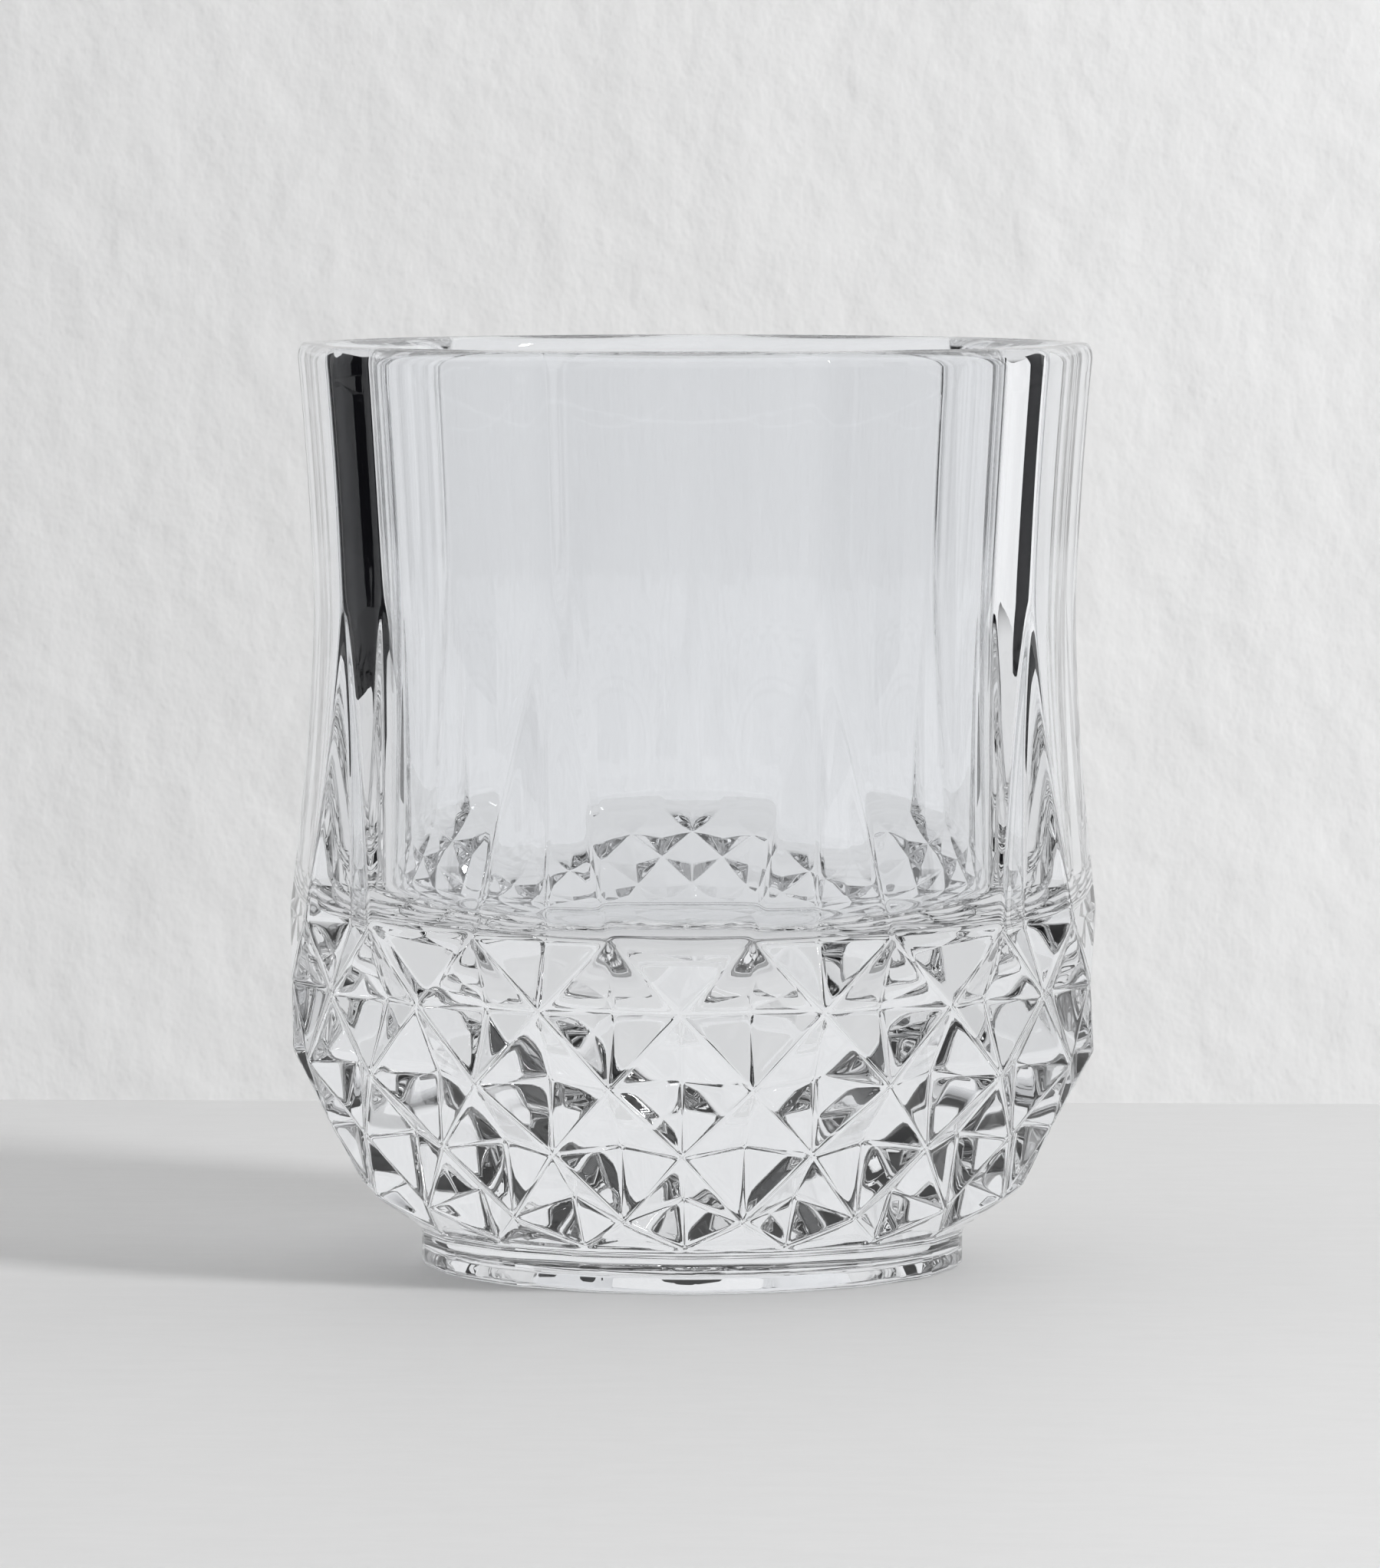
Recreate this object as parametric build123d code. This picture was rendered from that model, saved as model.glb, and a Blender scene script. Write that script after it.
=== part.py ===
from build123d import *

import os
from math import asin, cos, radians, sin, sqrt, tan

# Pressed-glass whiskey tumbler: one piece of clear glass, in millimetres, +Z up.
# The origin is the centre of the circle that the foot rests on. Angles round the glass
# are in degrees from the front (-Y), growing towards +X. A flat panel faces the front.

# Overall form
height = 95.0              # resting plane to the top of the rim
belly_radius = 41.7        # axis to the outermost crossings of the lattice
panel_count = 9            # flat panels round the upper wall

# Flat panels: they draw in from the crown of the lattice to the waist, then flare
crown_height = 36.7        # where the panels meet the lattice
waist_height = 68.0
waist_draw = 3.1           # from the crown in to the waist
rim_flare = 1.5            # from the waist out to the rim
flare_power = 1.5
ridge_width = 1.3          # flat that blunts the upright edge between two panels
wall_bands = 5             # flat bands that stand for each curved stretch of a panel

# Spike cuts: tall V-grooves that run up each edge between two panels
spike_top = 69.5
spike_depth = 1.8          # at the crown, below the straight line between its shoulders

# Lattice rings below the crown: height, and how far inside the belly radius
ring_heights = [29.6, 22.0, 15.0, 8.0, 5.0]
ring_insets = [0.0, 0.2, 3.9, 7.5, 12.1]
pit_depth = 2.2            # each diamond between the crossings is a pit with four sides

# Lip: the wall rounds in from both sides over this height
lip_height = 1.7
lip_flat = 0.1             # what is left level at the very top
lip_bands = 3

# Foot ring
foot_inset = 1.5           # from the lowest lattice ring in to the foot
foot_wall_top = 3.8        # the foot flares from here up to the lowest ring
foot_edge = 0.8            # bevel round the bottom outer edge
rest_width = 3.3           # level ring that the glass stands on
punt_depth = 1.5           # hollow under the base
punt_slope = 2.0           # width of the hollow's sloping side
foot_core = 1.5            # reach of the foot's solid middle up into the body

# Bore: round, tapered, with a hollowed floor and a rounded bottom corner
floor_height = 31.0        # at the middle of the floor
floor_curve = 100.0        # radius of the hollowed floor
bore_corner = 5.0
base_wall = 6.9            # from the belly radius in to the bore, above the bottom corner
waist_wall = 1.8           # glass at the middle of a panel, at the waist
rim_wall = 1.6             # and under the lip

# Worked out from the sizes above
half_column = 180 / (2 * panel_count)    # half the angle of one column of diamonds
half_panel = 2 * half_column
ring_heights = [crown_height] + ring_heights
ring_radii = [belly_radius] + [belly_radius - inset for inset in ring_insets]
lip_line = height - lip_height
lip_width = (rim_wall - lip_flat) / 2
crown_apothem = belly_radius * cos(radians(half_column))
waist_apothem = crown_apothem - waist_draw
rim_apothem = waist_apothem + rim_flare


def at(radius, angle, z):
    """Point at a distance from the axis, an angle from the front and a height."""
    return Vector(radius * sin(radians(angle)), -radius * cos(radians(angle)), z)


def steps(low, high, count):
    """Values from low to high in equal steps, both ends included."""
    return [low + (high - low) * i / count for i in range(count + 1)]


def facet(*points):
    return Face(Wire.make_polygon(points))


def crossing(ring, angle):
    """Crossing of the lattice. Ring 0 is the crown, and the last ring is above the foot."""
    return at(ring_radii[ring], angle, ring_heights[ring])


def panel_apothem(z):
    """Distance from the axis to the middle of a panel, from the crown to the lip line."""
    if z < waist_height:
        share = (waist_height - z) / (waist_height - crown_height)
        return waist_apothem + waist_draw * share ** flare_power
    share = (z - waist_height) / (lip_line - waist_height)
    return waist_apothem + rim_flare * share ** flare_power


def lip_inset(z):
    """How far each side of the wall has rounded in at a height above the lip line."""
    return lip_width * (1 - sqrt(max(0, 1 - ((z - lip_line) / lip_height) ** 2)))


def full_half_width(apothem):
    """From the middle of a panel to the ridge flat beside it."""
    turn = radians(half_panel)
    return apothem * tan(turn) - ridge_width / (2 * cos(turn))


def wall_levels():
    """Height, apothem and half width of a panel, from the crown to the top of the lip."""
    levels = []
    crown_half = belly_radius * sin(radians(half_column))
    top_half = full_half_width(panel_apothem(spike_top))
    for z in steps(crown_height, spike_top, wall_bands):
        share = (z - crown_height) / (spike_top - crown_height)
        levels.append((z, panel_apothem(z), crown_half + (top_half - crown_half) * share))
    for z in steps(spike_top, lip_line, wall_bands)[1:]:
        levels.append((z, panel_apothem(z), full_half_width(panel_apothem(z))))
    for z in steps(lip_line, height, lip_bands)[1:]:
        apothem = rim_apothem - lip_inset(z)
        levels.append((z, apothem, full_half_width(apothem)))
    return levels


def edge_pair(level, ridge):
    """The two edge points that face each other across the ridge at the angle `ridge`."""
    z, apothem, half = level
    radius = sqrt(apothem ** 2 + half ** 2)
    return [at(radius, ridge + side * spread(apothem, half), z) for side in (-1, 1)]


def spread(apothem, half):
    """Angle between a ridge and the edge of the panel beside it."""
    return half_panel - Vector(apothem, half, 0).get_angle(Vector(1, 0, 0))


def valley(level, ridge):
    """Bottom of a spike cut: sunk below the middle of the line between its two edges."""
    z, apothem, half = level
    share = (spike_top - z) / (spike_top - crown_height)
    radius = sqrt(apothem ** 2 + half ** 2) * cos(radians(spread(apothem, half)))
    return at(radius - spike_depth * share, ridge, z)


def wall_faces(ridge):
    """The panel before a ridge, the ridge's flat, and the spike cut that runs up to it."""
    faces = []
    levels = wall_levels()
    behind = ridge - 2 * half_panel
    for low, high in zip(levels, levels[1:]):
        left_low, left_high = edge_pair(low, behind)[1], edge_pair(high, behind)[1]
        (right_low, next_low), (right_high, next_high) = edge_pair(low, ridge), edge_pair(high, ridge)
        faces.append(facet(left_low, right_low, right_high, left_high))
        if low is levels[wall_bands]:
            faces.append(facet(right_low, valley(low, ridge), next_low, next_high, right_high))
        elif low[0] > spike_top:
            faces.append(facet(right_low, next_low, next_high, right_high))
        else:
            for edge_low, edge_high in ((right_low, right_high), (next_low, next_high)):
                faces.append(facet(valley(low, ridge), edge_low, valley(high, ridge)))
                faces.append(facet(edge_low, edge_high, valley(high, ridge)))
    return faces + crown_faces(ridge)


def crown_faces(ridge):
    """The point that ends a panel, and the two facets that end a spike cut."""
    faces = [facet(crossing(0, ridge - 3 * half_column), crossing(1, ridge - half_panel),
                   crossing(0, ridge - half_column))]
    for side in (-1, 1):
        faces.append(facet(crossing(0, ridge + side * half_column),
                           valley(wall_levels()[0], ridge), crossing(1, ridge)))
    return faces


def pit(ring, angle):
    """Four-sided pit in the diamond whose left and right crossings are on a ring."""
    top, bottom = crossing(ring - 1, angle), crossing(ring + 1, angle)
    left, right = crossing(ring, angle - half_column), crossing(ring, angle + half_column)
    outward = (right - left).cross(top - bottom).normalized()
    sunk = (top + left + bottom + right) * 0.25 - outward * pit_depth
    corners = [top, left, bottom, right]
    return [facet(a, b, sunk) for a, b in zip(corners, corners[1:] + corners[:1])]


def lattice_faces():
    """All the pits, and the facets that close the lowest ring."""
    faces = []
    last = len(ring_heights) - 1
    for column in range(2 * panel_count):
        for ring in range(1, last):
            faces += pit(ring, (2 * column + ring % 2) * half_column)
        angle = (2 * column + last % 2) * half_column
        faces.append(facet(crossing(last, angle - half_column), crossing(last - 1, angle),
                           crossing(last, angle + half_column)))
    return faces


def end_faces():
    """Level faces that close the faceted body at the rim and above the foot."""
    last = len(ring_heights) - 1
    rim = []
    for panel in range(panel_count):
        rim += edge_pair(wall_levels()[-1], (2 * panel + 1) * half_panel)
    base = [crossing(last, (2 * column + 1 - last % 2) * half_column)
            for column in range(2 * panel_count)]
    return [facet(*rim), facet(*base)]


def faceted_body():
    """Outer surface from the lowest lattice ring to the rim, as one solid."""
    faces = lattice_faces() + end_faces()
    for panel in range(panel_count):
        faces += wall_faces((2 * panel + 1) * half_panel)
    return Solid(Shell(faces))


def turned(*edges):
    """Solid of revolution about the axis of the glass."""
    return revolve(Face(Wire(edges)), Axis.Z, 360)


def foot():
    """Foot ring with its level resting face and the hollow inside it."""
    top_z = ring_heights[-1]
    top_radius = ring_radii[-1] * cos(radians(half_column))
    radius = ring_radii[-1] - foot_inset
    inner = radius - foot_edge - rest_width
    outline = [(0, punt_depth), (inner - punt_slope, punt_depth), (inner, 0),
               (radius - foot_edge, 0), (radius, foot_edge), (radius, foot_wall_top),
               (top_radius, top_z), (top_radius - foot_core, top_z + foot_core),
               (0, top_z + foot_core)]
    return turned(*Polyline(*[(x, 0, z) for x, z in outline], close=True).edges())


def bore():
    """Space inside the glass, carried on above the rim so that it cuts clean through."""
    base_radius = belly_radius - base_wall
    rim_radius = rim_apothem - rim_wall
    lean = asin((base_radius - bore_corner) / (floor_curve - bore_corner))
    corner_top = floor_height + floor_curve - (floor_curve - bore_corner) * cos(lean)
    turn = (radians(90) - lean) / 2
    lip = [(rim_radius + lip_inset(z), 0, z) for z in steps(lip_line, height, lip_bands)]
    start, end = (0, 0, floor_height), (0, 0, height + lip_height)
    middle, edge = [(floor_curve * sin(a), 0, floor_height + floor_curve * (1 - cos(a)))
                    for a in (lean / 2, lean)]
    corner = (base_radius - bore_corner * (1 - cos(turn)), 0, corner_top - bore_corner * sin(turn))
    corner_end = (base_radius, 0, corner_top)
    return turned(
        ThreePointArc(start, middle, edge),
        ThreePointArc(edge, corner, corner_end),
        Spline(corner_end, (waist_apothem - waist_wall, 0, waist_height), lip[0]),
        *Polyline(*lip, (lip[-1][0], 0, end[2]), end, start).edges())


def main():
    glass = faceted_body() + foot() - bore()
    os.makedirs("parts", exist_ok=True)
    export_step(glass, "parts/glass_body.step")
    print("volume ml", glass.volume / 1000, "box", glass.bounding_box().size)


main()
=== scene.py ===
import math

import bpy
import numpy as np
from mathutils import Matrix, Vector


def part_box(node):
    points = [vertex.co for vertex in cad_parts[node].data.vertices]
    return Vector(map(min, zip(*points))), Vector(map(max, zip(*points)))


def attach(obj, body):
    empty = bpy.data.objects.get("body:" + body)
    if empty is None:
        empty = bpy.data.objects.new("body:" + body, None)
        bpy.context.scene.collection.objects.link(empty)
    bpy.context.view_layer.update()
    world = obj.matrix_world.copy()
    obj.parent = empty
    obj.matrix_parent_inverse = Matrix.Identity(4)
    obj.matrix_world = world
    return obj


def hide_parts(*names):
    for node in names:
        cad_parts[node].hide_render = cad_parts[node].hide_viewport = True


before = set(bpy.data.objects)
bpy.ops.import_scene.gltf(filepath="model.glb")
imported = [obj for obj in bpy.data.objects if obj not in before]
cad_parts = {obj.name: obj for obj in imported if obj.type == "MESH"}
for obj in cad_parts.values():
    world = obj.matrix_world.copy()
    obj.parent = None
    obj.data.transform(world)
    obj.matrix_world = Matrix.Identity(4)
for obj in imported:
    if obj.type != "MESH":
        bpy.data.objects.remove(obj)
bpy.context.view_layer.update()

# ---------------------------------------------------------------- sizes of the glass, in mm
# Angles round the glass are in degrees from the front (-Y), growing towards +X.
MM = 0.001
box_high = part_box("glass_body")[1]
HEIGHT = box_high[2] / MM
BELLY = box_high[0] / MM

PANELS = 9
HALF_COLUMN = 180 / (2 * PANELS)      # half a column of diamonds
HALF_PANEL = 2 * HALF_COLUMN

CROWN = 36.7                          # where the panels meet the diamonds
WAIST = 68.0
WAIST_DRAW = 3.1
RIM_FLARE = 1.5
FLARE_POWER = 1.5
RIDGE_WIDTH = 1.3

SPIKE_TOP = 69.5
SPIKE_DEPTH = 1.8
SPIKE_FADE = 0.12                     # slope at which a spike cut runs out above its top

RING_HEIGHTS = [CROWN, 29.6, 22.0, 15.0, 8.0, 5.0]
RING_RADII = [BELLY - inset for inset in (0.0, 0.0, 0.2, 3.9, 7.5, 12.1)]
PIT_DEPTH = 2.2

LIP_HEIGHT = 1.7
LIP_LINE = HEIGHT - LIP_HEIGHT
LIP_SIDE = 1.6                        # the rest of the lip's height is its crowned land
LIP_ROUND = 0.75
RIM_WALL = 1.6
WAIST_WALL = 1.8
BASE_WALL = 6.9
FLOOR = 31.0                          # lowest point inside
FLOOR_CURVE = 100.0                   # radius of the hollowed floor
BORE_CORNER = 5.0

FOOT = RING_RADII[-1] - 1.5
FOOT_EDGE = 0.8
REST_WIDTH = 3.3
PUNT_DEPTH = 1.5
PUNT_SLOPE = 2.0

CROWN_APOTHEM = BELLY * math.cos(math.radians(HALF_COLUMN))
WAIST_APOTHEM = CROWN_APOTHEM - WAIST_DRAW
RIM_APOTHEM = WAIST_APOTHEM + RIM_FLARE

BASE_RADIUS = BELLY - BASE_WALL
FLOOR_LEAN = math.asin((BASE_RADIUS - BORE_CORNER) / (FLOOR_CURVE - BORE_CORNER))
CORNER_TOP = FLOOR + FLOOR_CURVE - (FLOOR_CURVE - BORE_CORNER) * math.cos(FLOOR_LEAN)

# Softness of the moulded edges: mm of blending where faces meet
PANEL_SOFT = 0.12
RIDGE_SOFT = 0.15
VALLEY_SOFT = 0.07
FOOT_SOFT = 0.25

# Distances from an edge, in mm, at which the mesh has lines to carry that softness
EDGE_STEPS = np.array([0.0, 0.2, 0.45, 0.8, 1.4])


# ---------------------------------------------------------------- outer surface as a formula
def at(radius, angle, z):
    """Point at a distance from the axis, an angle from the front and a height."""
    turn = math.radians(angle)
    return np.array([radius * math.sin(turn), -radius * math.cos(turn), z])


def crossing(ring, angle):
    return at(RING_RADII[ring], angle, RING_HEIGHTS[ring])


def soft_min(values, softness):
    values = np.stack(values)
    least = values.min(axis=0)
    return least - softness * np.log(np.exp((least - values) / softness).sum(axis=0))


def soft_max(values, softness):
    return -soft_min([-v for v in values], softness)


def panel_apothem(z):
    """Distance from the axis to the middle of a panel."""
    below = np.clip((WAIST - z) / (WAIST - CROWN), 0, 1)
    above = np.clip((z - WAIST) / (LIP_LINE - WAIST), 0, 1)
    apothem = WAIST_APOTHEM + WAIST_DRAW * below ** FLARE_POWER + RIM_FLARE * above ** FLARE_POWER
    point_slope = (RING_RADII[1] - CROWN_APOTHEM) / (CROWN - RING_HEIGHTS[1])
    return apothem + np.clip(CROWN - z, 0, None) * point_slope


def full_half_width(apothem):
    """From the middle of a panel to the ridge flat beside it."""
    turn = math.radians(HALF_PANEL)
    return apothem * math.tan(turn) - RIDGE_WIDTH / (2 * math.cos(turn))


def spike_share(z):
    return (SPIKE_TOP - z) / (SPIKE_TOP - CROWN)


def panel_half_width(z):
    """Half the width of a panel, which narrows beside the spike cuts."""
    crown_half = BELLY * math.sin(math.radians(HALF_COLUMN))
    top_half = full_half_width(panel_apothem(SPIKE_TOP))
    narrow = top_half + (crown_half - top_half) * spike_share(z)
    return np.where(z < SPIKE_TOP, narrow, full_half_width(panel_apothem(z)))


def edge_point(z):
    """Edge of a panel seen from its ridge: distances towards the ridge and to the side."""
    apothem, half = panel_apothem(z), panel_half_width(z)
    turn = math.radians(HALF_PANEL)
    return (apothem * math.cos(turn) + half * math.sin(turn),
            apothem * math.sin(turn) - half * math.cos(turn))


def plane_radius(points, angles, z):
    """Distance from the axis to the plane through three points, at angles and heights."""
    a, b, c = points
    normal = np.cross(b - a, c - a)
    across = normal[0] * np.sin(angles) - normal[1] * np.cos(angles)
    return (normal @ a - normal[2] * z) / np.where(np.abs(across) < 1e-9, 1e-9, across)


def valid(radius):
    """A plane that a ray never meets in front of the axis cuts nothing there."""
    return np.where(radius > 0, radius, 1e3)


def pit_radius(ring, angles, z):
    """Surface of the pit whose side crossings are on a ring, centred on the angle 0."""
    top, bottom = crossing(ring - 1, 0), crossing(ring + 1, 0)
    left, right = crossing(ring, -HALF_COLUMN), crossing(ring, HALF_COLUMN)
    sunk = pit_centre(ring, 0)
    corners = [top, left, bottom, right, top]
    planes = [valid(plane_radius((a, b, sunk), angles, z)) for a, b in zip(corners, corners[1:])]
    return soft_max(planes, VALLEY_SOFT)


def pit_centre(ring, angle):
    top, bottom = crossing(ring - 1, angle), crossing(ring + 1, angle)
    left, right = crossing(ring, angle - HALF_COLUMN), crossing(ring, angle + HALF_COLUMN)
    outward = np.cross(right - left, top - bottom)
    return (top + left + bottom + right) / 4 - PIT_DEPTH * outward / np.linalg.norm(outward)


def spike_valley(z):
    """Distance from the axis to the bottom of a spike cut."""
    return edge_point(z)[0] - SPIKE_DEPTH * np.clip(spike_share(z), 0, None)


def spike_radius(angles, z):
    """Surface of a spike cut centred on the angle 0, with the two facets that end it."""
    held = np.minimum(z, SPIKE_TOP)
    forward, side = edge_point(held)
    valley = spike_valley(held)
    lean = (valley - forward) / side
    sides = [valley / np.maximum(np.cos(angles) + sign * lean * np.sin(angles), 0.1)
             for sign in (-1, 1)]
    sunk = at(float(spike_valley(CROWN)), 0, CROWN)
    ends = [valid(plane_radius((crossing(0, sign * HALF_COLUMN), sunk, crossing(1, 0)), angles, z))
            for sign in (-1, 1)]
    above = np.clip(z - SPIKE_TOP, 0, None) * SPIKE_FADE
    return soft_max(sides + ends, VALLEY_SOFT) + above


def nearest_turn(angles, first, step):
    """Angles measured from the nearest of the directions first, first + step, ..."""
    first, step = math.radians(first), math.radians(step)
    return (angles - first + step / 2) % step - step / 2


def body_radius(angles, z):
    """Distance from the axis to the outside of the glass, from the foot to the lip line."""
    apothem = panel_apothem(z)
    ridge = nearest_turn(angles, HALF_PANEL, 2 * HALF_PANEL)
    corner = apothem / math.cos(math.radians(HALF_PANEL))
    flat = corner - RIDGE_WIDTH / 2 * math.tan(math.radians(HALF_PANEL))
    turn = math.radians(HALF_PANEL)
    upright = [flat / np.cos(ridge)]
    upright += [apothem / np.cos(ridge + side * turn) for side in (-1, 1)]
    shapes = [soft_min(upright, PANEL_SOFT), spike_radius(ridge, z)]
    for ring in range(1, len(RING_HEIGHTS) - 1):
        first = HALF_COLUMN * (ring % 2)
        near = nearest_turn(angles, first, 2 * HALF_COLUMN)
        for column in (-1, 0, 1):
            shapes.append(pit_radius(ring, near + math.radians(2 * HALF_COLUMN * column), z))
    low_r, high_r = RING_RADII[-1], RING_RADII[-2]
    low_z, high_z = RING_HEIGHTS[-1], RING_HEIGHTS[-2]
    cone = low_r + (z - low_z) * (high_r - low_r) / (high_z - low_z)
    shapes.append(np.maximum(cone, 1))
    body = soft_min(shapes, RIDGE_SOFT)
    return soft_max([body, np.full_like(body, FOOT)], FOOT_SOFT)


# ---------------------------------------------------------------- mesh
class Skin:
    """Vertices and faces of the glass. Points that coincide are one vertex."""

    def __init__(self):
        self.points, self.faces, self.known = [], [], {}

    def add(self, points):
        """Vertex numbers of points, in mm."""
        numbers = []
        for p in np.asarray(points):
            key = (round(float(p[0]), 3), round(float(p[1]), 3), round(float(p[2]), 3))
            if key not in self.known:
                self.known[key] = len(self.points)
                self.points.append(p)
            numbers.append(self.known[key])
        return numbers

    def face(self, *numbers):
        corners = [n for i, n in enumerate(numbers) if n != numbers[i - 1]]
        if len(set(corners)) >= 3:
            self.faces.append(corners)

    def strip(self, low, high):
        """Faces between two rows of vertices, the first row lower or further clockwise."""
        for i in range(len(low) - 1):
            self.face(low[i], low[i + 1], high[i + 1], high[i])


def snapped(points):
    """Points moved along their radius on to the outer surface."""
    points = np.asarray(points, float)
    angles = np.arctan2(points[:, 0], -points[:, 1])
    radius = body_radius(angles, points[:, 2])
    return np.column_stack([radius * np.sin(angles), -radius * np.cos(angles), points[:, 2]])


def stations(length, middle):
    """Fractions along an edge: close together near its ends, even in between."""
    near = EDGE_STEPS * min(1, length / (3 * EDGE_STEPS[-1]))
    even = np.linspace(near[-1], length - near[-1], middle + 1)[1:-1]
    return np.concatenate([near, even, (length - near)[::-1]]) / length


def between(a, b, middle):
    """Points from a to b at the stations of that edge."""
    share = stations(np.linalg.norm(b - a), middle)
    return a + (b - a) * share[:, None]


def triangle_patch(skin, corners, middles):
    """A facet, as rings of faces that follow its three edges, closed by a fan."""
    a, b, c = corners
    sides = np.array([np.linalg.norm(c - b), np.linalg.norm(a - c), np.linalg.norm(b - a)])
    area = np.linalg.norm(np.cross(b - a, c - a)) / 2
    inner_radius = 2 * area / sides.sum()
    centre = (sides[0] * a + sides[1] * b + sides[2] * c) / sides.sum()
    steps = EDGE_STEPS * min(1, 0.8 * inner_radius / EDGE_STEPS[-1])
    rings = []
    for step in steps:
        shrunk = [centre + (p - centre) * (1 - step / inner_radius) for p in corners]
        ring = [between(shrunk[i], shrunk[(i + 1) % 3], middles[i])[:-1] for i in range(3)]
        rings.append(skin.add(snapped(np.concatenate(ring))))
    for outer, inner in zip(rings, rings[1:]):
        skin.strip(outer + outer[:1], inner + inner[:1])
    middle = skin.add(snapped([centre]))[0]
    last = rings[-1]
    for i, number in enumerate(last):
        skin.face(number, last[(i + 1) % len(last)], middle)


EDGE_MIDDLE, PANEL_MIDDLE = 1, 12


def add_lattice(skin):
    """All the facets of the diamonds, and the ones that close the lowest ring."""
    even = (EDGE_MIDDLE,) * 3
    last = len(RING_HEIGHTS) - 1
    for column in range(2 * PANELS):
        for ring in range(1, last):
            angle = (2 * column + ring % 2) * HALF_COLUMN
            top, bottom = crossing(ring - 1, angle), crossing(ring + 1, angle)
            left, right = crossing(ring, angle - HALF_COLUMN), crossing(ring, angle + HALF_COLUMN)
            sunk = pit_centre(ring, angle)
            corners = [top, left, bottom, right, top]
            for a, b in zip(corners, corners[1:]):
                triangle_patch(skin, (a, b, sunk), even)
        angle = (2 * column + last % 2) * HALF_COLUMN
        low = [crossing(last, angle + side * HALF_COLUMN) for side in (-1, 1)]
        triangle_patch(skin, (low[0], low[1], crossing(last - 1, angle)), even)


def add_crown(skin):
    """The points that end the panels, and the facets that end the spike cuts."""
    for panel in range(PANELS):
        middle = 2 * panel * HALF_PANEL
        left, right = crossing(0, middle - HALF_COLUMN), crossing(0, middle + HALF_COLUMN)
        triangle_patch(skin, (left, crossing(1, middle), right),
                       (EDGE_MIDDLE, EDGE_MIDDLE, PANEL_MIDDLE))
        ridge = middle + HALF_PANEL
        sunk = at(float(spike_valley(CROWN)), ridge, CROWN)
        left, right = crossing(0, ridge - HALF_COLUMN), crossing(0, ridge + HALF_COLUMN)
        triangle_patch(skin, (left, crossing(1, ridge), sunk), (EDGE_MIDDLE,) * 3)
        triangle_patch(skin, (right, sunk, crossing(1, ridge)), (EDGE_MIDDLE,) * 3)


def wall_row(z):
    """Points round the glass at a height in the upper wall, from the front panel's left edge."""
    forward, side = (float(v) for v in edge_point(z))
    radius, spread = math.hypot(forward, side), math.degrees(math.atan2(side, forward))
    row = []
    for panel in range(PANELS):
        ridge = (2 * panel + 1) * HALF_PANEL
        left = at(radius, ridge - 2 * HALF_PANEL + spread, z)
        right, following = at(radius, ridge - spread, z), at(radius, ridge + spread, z)
        bottom = at(float(spike_valley(z)), ridge, z)
        row += list(between(left, right, PANEL_MIDDLE)[:-1])
        row += list(between(right, bottom, EDGE_MIDDLE)[:-1])
        row += list(between(bottom, following, EDGE_MIDDLE)[:-1])
    return np.array(row)


def closed(numbers):
    return numbers + numbers[:1]


def add_wall(skin):
    """The panels, ridges and spike cuts. Returns the points of the row at the lip line."""
    heights = np.concatenate([
        CROWN + EDGE_STEPS,
        np.arange(CROWN + 2.5, SPIKE_TOP - 1.2, 1.5),
        SPIKE_TOP + np.array([-1.0, -0.5, 0.0, 0.5, 1.0, 2.0]),
        np.linspace(SPIKE_TOP + 3.5, LIP_LINE, 13)])
    rows = [snapped(wall_row(z)) for z in heights]
    numbers = [closed(skin.add(row)) for row in rows]
    for low, high in zip(numbers, numbers[1:]):
        skin.strip(low, high)
    return rows[-1]


def bore_radius(z):
    """Smooth taper of the bore through its sizes at the base, the waist and the rim."""
    heights = [CORNER_TOP, WAIST, LIP_LINE]
    radii = [BASE_RADIUS, WAIST_APOTHEM - WAIST_WALL, RIM_APOTHEM - RIM_WALL]
    bend = np.polyfit(heights, radii, 2)
    return float(np.polyval(bend, z))


def round_row(skin, angles, radius, z):
    return closed(skin.add(np.column_stack([radius * np.sin(angles), -radius * np.cos(angles),
                                            np.full(len(angles), z)])))


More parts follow.
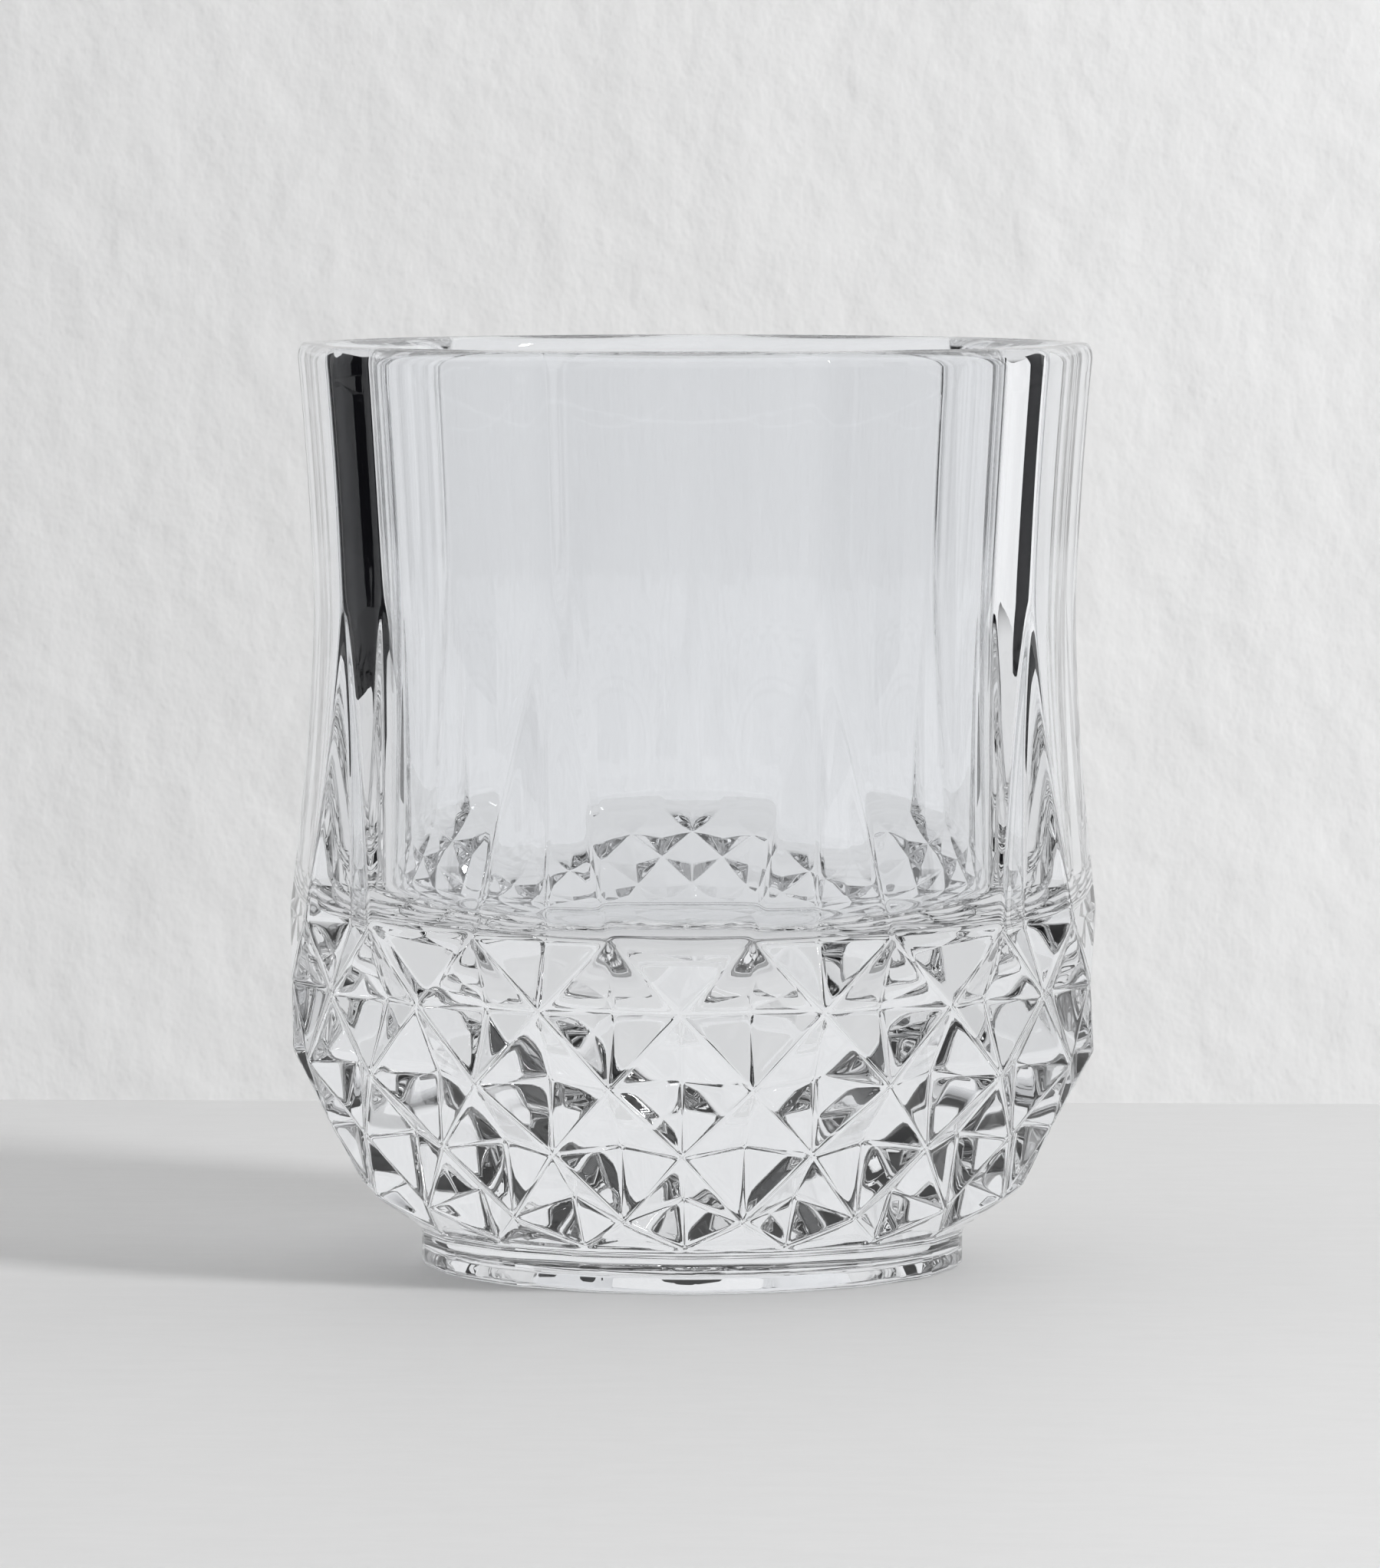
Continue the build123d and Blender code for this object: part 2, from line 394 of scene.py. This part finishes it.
def add_lip_and_bore(skin, rim):
    """Rounded lip over the wall, then the bore down to the middle of the floor."""
    angles = np.arctan2(rim[:, 0], -rim[:, 1])
    outer, inner = np.hypot(rim[:, 0], rim[:, 1]), bore_radius(LIP_LINE)
    rows = []
    for turn in np.linspace(0, math.pi / 2, 8):
        inset = LIP_ROUND * (1 - math.cos(turn))
        rows.append(round_row(skin, angles, outer - inset, LIP_LINE + LIP_SIDE * math.sin(turn)))
    for share in (0.2, 0.4, 0.6, 0.8):
        radius = (outer - LIP_ROUND) * (1 - share) + (inner + LIP_ROUND) * share
        crown = (LIP_HEIGHT - LIP_SIDE) * 4 * share * (1 - share)
        rows.append(round_row(skin, angles, radius, LIP_LINE + LIP_SIDE + crown))
    for turn in np.linspace(math.pi / 2, 0, 8):
        inset = LIP_ROUND * (1 - math.cos(turn))
        rows.append(round_row(skin, angles, np.full(len(angles), inner + inset),
                              LIP_LINE + LIP_SIDE * math.sin(turn)))
    for z in np.linspace(LIP_LINE, CORNER_TOP, 34)[1:]:
        rows.append(round_row(skin, angles, bore_radius(z), z))
    for turn in np.linspace(0, math.pi / 2 - FLOOR_LEAN, 13)[1:]:
        rows.append(round_row(skin, angles, BASE_RADIUS - BORE_CORNER * (1 - math.cos(turn)),
                              CORNER_TOP - BORE_CORNER * math.sin(turn)))
    for share in np.linspace(1, 0, 13)[1:]:
        lean = FLOOR_LEAN * share
        rows.append(round_row(skin, angles, FLOOR_CURVE * math.sin(lean),
                              FLOOR + FLOOR_CURVE * (1 - math.cos(lean))))
    for low, high in zip(rows, rows[1:]):
        skin.strip(low, high)


def add_foot(skin):
    """Foot ring, resting face and the hollow under the base."""
    last = len(RING_HEIGHTS) - 1
    start = []
    for column in range(2 * PANELS):
        angle = (2 * column + last % 2) * HALF_COLUMN
        low = [crossing(last, angle + side * HALF_COLUMN) for side in (-1, 1)]
        start += list(between(low[0], low[1], EDGE_MIDDLE)[:-1])
    start = snapped(start)
    angles = np.arctan2(start[:, 0], -start[:, 1])
    rows = [closed(skin.add(start))]
    for z in (4.7, 4.4, 4.1, 3.8, 3.5, 3.1, 2.6, 2.0, 1.4):
        level = np.column_stack([np.sin(angles), -np.cos(angles), np.full(len(angles), z)])
        rows.append(closed(skin.add(snapped(level))))
    edge = FOOT - FOOT_EDGE
    for turn in np.linspace(0, math.pi / 2, 8):
        rows.append(round_row(skin, angles, edge + FOOT_EDGE * math.cos(turn),
                              FOOT_EDGE * (1 - math.sin(turn))))
    inner = edge - REST_WIDTH
    hollow = [(inner + 0.4, 0.0), (inner, 0.06), (inner - 0.5, 0.35),
              (inner - PUNT_SLOPE + 0.5, PUNT_DEPTH - 0.35), (inner - PUNT_SLOPE, PUNT_DEPTH - 0.06)]
    hollow += [((inner - PUNT_SLOPE - 0.4) * share, PUNT_DEPTH) for share in (1, 0.75, 0.5, 0.25, 0)]
    for radius, z in hollow:
        rows.append(round_row(skin, angles, radius, z))
    for low, high in zip(rows, rows[1:]):
        skin.strip(high, low)


def glass_mesh():
    skin = Skin()
    add_lattice(skin)
    add_crown(skin)
    add_lip_and_bore(skin, add_wall(skin))
    add_foot(skin)
    mesh = bpy.data.meshes.new("tumbler_glass")
    mesh.from_pydata([tuple(np.asarray(p) * MM) for p in skin.points], [], skin.faces)
    mesh.validate()
    mesh.shade_smooth()
    return mesh


# ---------------------------------------------------------------- materials
def new_material(name):
    material = bpy.data.materials.new(name)
    material.use_nodes = True
    material.node_tree.nodes.clear()
    return material, material.node_tree


def glass_material():
    """Clear pressed glass, very slightly cool."""
    material, tree = new_material("clear_pressed_glass")
    glass = tree.nodes.new("ShaderNodeBsdfPrincipled")
    glass.inputs["Base Color"].default_value = (0.982, 0.989, 1.0, 1)
    glass.inputs["Transmission Weight"].default_value = 1.0
    glass.inputs["Roughness"].default_value = 0.0
    glass.inputs["IOR"].default_value = 1.52
    output = tree.nodes.new("ShaderNodeOutputMaterial")
    tree.links.new(glass.outputs[0], output.inputs["Surface"])
    return material


def add_noise(tree, scale, detail, roughness, stretch=(1, 1, 1)):
    """Noise in the object's own metres, as its value socket."""
    place = tree.nodes.new("ShaderNodeTexCoord")
    mapping = tree.nodes.new("ShaderNodeMapping")
    mapping.inputs["Scale"].default_value = stretch
    noise = tree.nodes.new("ShaderNodeTexNoise")
    noise.inputs["Scale"].default_value = scale
    noise.inputs["Detail"].default_value = detail
    noise.inputs["Roughness"].default_value = roughness
    tree.links.new(place.outputs["Object"], mapping.inputs["Vector"])
    tree.links.new(mapping.outputs["Vector"], noise.inputs["Vector"])
    return noise.outputs["Fac"]


def matte_surface(tree, tone, spread, roughness, mottle, relief, depth):
    """Pale matt surface: grey levels tone +- spread by one noise, relief in metres by another."""
    shade = tree.nodes.new("ShaderNodeMapRange")
    shade.inputs["From Min"].default_value = 0.3
    shade.inputs["From Max"].default_value = 0.7
    shade.inputs["To Min"].default_value = tone - spread
    shade.inputs["To Max"].default_value = tone + spread
    bump = tree.nodes.new("ShaderNodeBump")
    bump.inputs["Strength"].default_value = 1.0
    bump.inputs["Distance"].default_value = depth
    surface = tree.nodes.new("ShaderNodeBsdfPrincipled")
    surface.inputs["Roughness"].default_value = roughness
    surface.inputs["Specular IOR Level"].default_value = 0.2
    tree.links.new(mottle, shade.inputs["Value"])
    tree.links.new(shade.outputs["Result"], surface.inputs["Base Color"])
    tree.links.new(relief, bump.inputs["Height"])
    tree.links.new(bump.outputs["Normal"], surface.inputs["Normal"])
    return surface


def seen_through_glass(tree, surface, colour, share):
    """The surface, with an even pale colour mixed in where the glass bends light from it."""
    even = tree.nodes.new("ShaderNodeEmission")
    even.inputs["Color"].default_value = colour
    path = tree.nodes.new("ShaderNodeLightPath")
    part = tree.nodes.new("ShaderNodeMath")
    part.operation = "MULTIPLY"
    part.inputs[1].default_value = share
    mix = tree.nodes.new("ShaderNodeMixShader")
    tree.links.new(path.outputs["Is Transmission Ray"], part.inputs[0])
    tree.links.new(part.outputs[0], mix.inputs["Fac"])
    tree.links.new(surface.outputs[0], mix.inputs[1])
    tree.links.new(even.outputs[0], mix.inputs[2])
    return mix


def table_material():
    """Pale matt top. The glass bends or reflects only the part near by, and sees it evenly pale."""
    material, tree = new_material("pale_table")
    surface = matte_surface(tree, 0.75, 0.012, 0.55, add_noise(tree, 300, 5, 0.7, (0.35, 1, 1)),
                            add_noise(tree, 900, 3, 0.6, (0.4, 1, 1)), 0.00004)
    place = tree.nodes.new("ShaderNodeTexCoord")
    reach = tree.nodes.new("ShaderNodeVectorMath")
    reach.operation = "LENGTH"
    far = tree.nodes.new("ShaderNodeMapRange")
    far.inputs["From Min"].default_value = TABLE_NEAR
    far.inputs["From Max"].default_value = TABLE_FAR
    path = tree.nodes.new("ShaderNodeLightPath")
    hidden = tree.nodes.new("ShaderNodeMath")
    hidden.operation = "MULTIPLY"
    dark = tree.nodes.new("ShaderNodeBsdfDiffuse")
    dark.inputs["Color"].default_value = (0.01, 0.01, 0.01, 1)
    mix = tree.nodes.new("ShaderNodeMixShader")
    output = tree.nodes.new("ShaderNodeOutputMaterial")
    surface = seen_through_glass(tree, surface, (0.74, 0.745, 0.75, 1), 0.8)
    tree.links.new(place.outputs["Object"], reach.inputs[0])
    tree.links.new(reach.outputs["Value"], far.inputs["Value"])
    tree.links.new(far.outputs["Result"], hidden.inputs[0])
    tree.links.new(path.outputs["Is Glossy Ray"], hidden.inputs[1])
    tree.links.new(hidden.outputs[0], mix.inputs["Fac"])
    tree.links.new(surface.outputs[0], mix.inputs[1])
    tree.links.new(dark.outputs[0], mix.inputs[2])
    tree.links.new(mix.outputs[0], output.inputs["Surface"])
    return material


def wall_material():
    """Rough plaster on the side towards the glass, clear from behind so other views see past it."""
    material, tree = new_material("pale_plaster")
    surface = matte_surface(tree, 0.75, 0.012, 0.9, add_noise(tree, 60, 6, 0.6, (1, 1, 0.7)),
                            add_noise(tree, 120, 4, 0.5, (1, 1, 0.8)), 0.0010)
    surface = seen_through_glass(tree, surface, (0.86, 0.87, 0.885, 1), 0.55)
    clear = tree.nodes.new("ShaderNodeBsdfTransparent")
    side = tree.nodes.new("ShaderNodeNewGeometry")
    mix = tree.nodes.new("ShaderNodeMixShader")
    output = tree.nodes.new("ShaderNodeOutputMaterial")
    tree.links.new(side.outputs["Backfacing"], mix.inputs["Fac"])
    tree.links.new(surface.outputs[0], mix.inputs[1])
    tree.links.new(clear.outputs[0], mix.inputs[2])
    tree.links.new(mix.outputs[0], output.inputs["Surface"])
    return material


def flag_material():
    """Black to what the glass bends or reflects, clear to the camera."""
    material, tree = new_material("black_flag")
    black = tree.nodes.new("ShaderNodeBsdfDiffuse")
    black.inputs["Color"].default_value = (0.004, 0.004, 0.005, 1)
    clear = tree.nodes.new("ShaderNodeBsdfTransparent")
    path = tree.nodes.new("ShaderNodeLightPath")
    seen = tree.nodes.new("ShaderNodeMath")
    seen.operation = "MAXIMUM"
    mix = tree.nodes.new("ShaderNodeMixShader")
    output = tree.nodes.new("ShaderNodeOutputMaterial")
    tree.links.new(path.outputs["Is Glossy Ray"], seen.inputs[0])
    tree.links.new(path.outputs["Is Transmission Ray"], seen.inputs[1])
    tree.links.new(seen.outputs[0], mix.inputs["Fac"])
    tree.links.new(clear.outputs[0], mix.inputs[1])
    tree.links.new(black.outputs[0], mix.inputs[2])
    tree.links.new(mix.outputs[0], output.inputs["Surface"])
    return material


# ---------------------------------------------------------------- scene
def add_object(name, mesh, material):
    made = bpy.data.objects.new(name, mesh)
    bpy.context.scene.collection.objects.link(made)
    made.data.materials.append(material)
    return made


def sheet_mesh(name, corners):
    mesh = bpy.data.meshes.new(name)
    mesh.from_pydata(corners, [], [(0, 1, 2, 3)])
    return mesh


TABLE_BACK = 0.155        # from the glass's axis back to the wall
WALL_HEIGHT = 0.45
STAGE_REACH = 3.0
TABLE_NEAR, TABLE_FAR = 0.30, 0.50    # the table fades to black here, to what the glass sees

# Black cards: the distances of each upright edge from the two centre planes, left and right
FLAG_NEAR = (0.158, 0.150)
FLAG_FAR = {-1: (0.255, 0.072), 1: (0.222, 0.122)}
FLAG_HEIGHT = 0.35


def add_stage():
    """Table, wall and black cards. The wall and the cards cast no shadow."""
    reach, back = STAGE_REACH, TABLE_BACK
    table_sheet = sheet_mesh("table", [
        (-reach, -reach, 0), (reach, -reach, 0), (reach, reach, 0), (-reach, reach, 0)])
    wall_sheet = sheet_mesh("wall", [
        (-reach, back, 0), (reach, back, 0), (reach, back, WALL_HEIGHT), (-reach, back, WALL_HEIGHT)])
    table = add_object("table", table_sheet, table_material())
    wall = add_object("wall", wall_sheet, wall_material())
    wall.visible_shadow = False
    black = flag_material()
    for name, x_sign, y_sign in (("left_back", -1, 1), ("right_back", 1, 1),
                                 ("left_front", -1, -1), ("right_front", 1, -1)):
        near, far = [(x_sign * x, y_sign * y) for x, y in (FLAG_NEAR, FLAG_FAR[x_sign])]
        card = sheet_mesh("flag_" + name, [(*near, 0), (*far, 0), (*far, FLAG_HEIGHT), (*near, FLAG_HEIGHT)])
        flag = add_object("flag_" + name, card, black)
        flag.visible_shadow = False


def add_area_light(name, place, aim, size, watts):
    data = bpy.data.lights.new(name, "AREA")
    data.size = size
    data.energy = watts
    lamp = bpy.data.objects.new(name, data)
    lamp.location = place
    lamp.rotation_euler = (Vector(aim) - Vector(place)).to_track_quat("-Z", "Y").to_euler()
    bpy.context.scene.collection.objects.link(lamp)


CAMERA_DISTANCE = 0.9311
CAMERA_HEIGHT = 0.1161
CAMERA_AZIMUTH = 1.67
CAMERA_PITCH = 4.09
CAMERA_SIDE = -0.00029
CAMERA_LENS = 207.8

WORLD_LIGHT = 0.62        # strength at which the world lights things
WORLD_SEEN = 0.78         # strength that the camera sees
ROOM_SEEN = 0.02          # strength that the glass bends or reflects
ROOM_RISE = 0.15


def add_camera():
    data = bpy.data.cameras.new("camera")
    data.lens = CAMERA_LENS
    data.sensor_width = 36
    camera = bpy.data.objects.new("camera", data)
    turn = math.radians(CAMERA_AZIMUTH)
    camera.location = (CAMERA_DISTANCE * math.sin(turn) + CAMERA_SIDE * math.cos(turn),
                       -CAMERA_DISTANCE * math.cos(turn) + CAMERA_SIDE * math.sin(turn), CAMERA_HEIGHT)
    camera.rotation_euler = (math.radians(90 - CAMERA_PITCH), 0, turn)
    bpy.context.scene.collection.objects.link(camera)
    bpy.context.scene.camera = camera


def map_value(tree, value, low, high, low_to, high_to):
    """A value carried in a straight line from low..high to low_to..high_to."""
    step = tree.nodes.new("ShaderNodeMapRange")
    limits = {"From Min": low, "From Max": high, "To Min": low_to, "To Max": high_to}
    for name, number in limits.items():
        step.inputs[name].default_value = number
    tree.links.new(value, step.inputs["Value"])
    return step.outputs["Result"]


def choose(tree, switch, off, on):
    """Mix of two strengths, each a number or another node's value."""
    mix = tree.nodes.new("ShaderNodeMix")
    tree.links.new(switch, mix.inputs["Factor"])
    for socket, value in (("A", off), ("B", on)):
        if isinstance(value, float):
            mix.inputs[socket].default_value = value
        else:
            tree.links.new(value, mix.inputs[socket])
    return mix.outputs["Result"]


def set_world():
    """Even light, pale to the camera and dark to what the glass bends or reflects."""
    world = bpy.data.worlds.new("studio")
    bpy.context.scene.world = world
    world.use_nodes = True
    tree = world.node_tree
    background = tree.nodes["Background"]
    background.inputs["Color"].default_value = (1, 1, 1, 1)
    path = tree.nodes.new("ShaderNodeLightPath")
    place = tree.nodes.new("ShaderNodeTexCoord")
    parts = tree.nodes.new("ShaderNodeSeparateXYZ")
    tree.links.new(place.outputs["Generated"], parts.inputs[0])

    # What the glass bends counts as glossy too, so this slope isn't seen. It is kept because
    # without it the world is sampled differently, and the table by the foot comes out brighter.
    slope = map_value(tree, parts.outputs["Z"], 0.0, ROOM_RISE, WORLD_SEEN, ROOM_SEEN)
    strength = choose(tree, path.outputs["Is Glossy Ray"], slope, ROOM_SEEN)
    strength = choose(tree, path.outputs["Is Camera Ray"], strength, WORLD_SEEN)
    lighting = map_value(tree, path.outputs["Diffuse Depth"], 0, 1, 0, 1)
    strength = choose(tree, lighting, strength, WORLD_LIGHT)
    tree.links.new(strength, background.inputs["Strength"])
    bpy.context.scene.view_settings.view_transform = "Standard"


glass = add_object("tumbler_glass", glass_mesh(), glass_material())
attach(glass, "root")
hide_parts("glass_body")
add_stage()
add_area_light("softbox", (0.92, -0.62, 0.56), (0, 0.03, 0.03), 0.22, 10)
add_camera()
set_world()

# A ray can be reflected many times inside the facets, and each exit needs bounces to spare
cycles = bpy.context.scene.cycles
cycles.max_bounces, cycles.glossy_bounces, cycles.transmission_bounces = 40, 24, 32
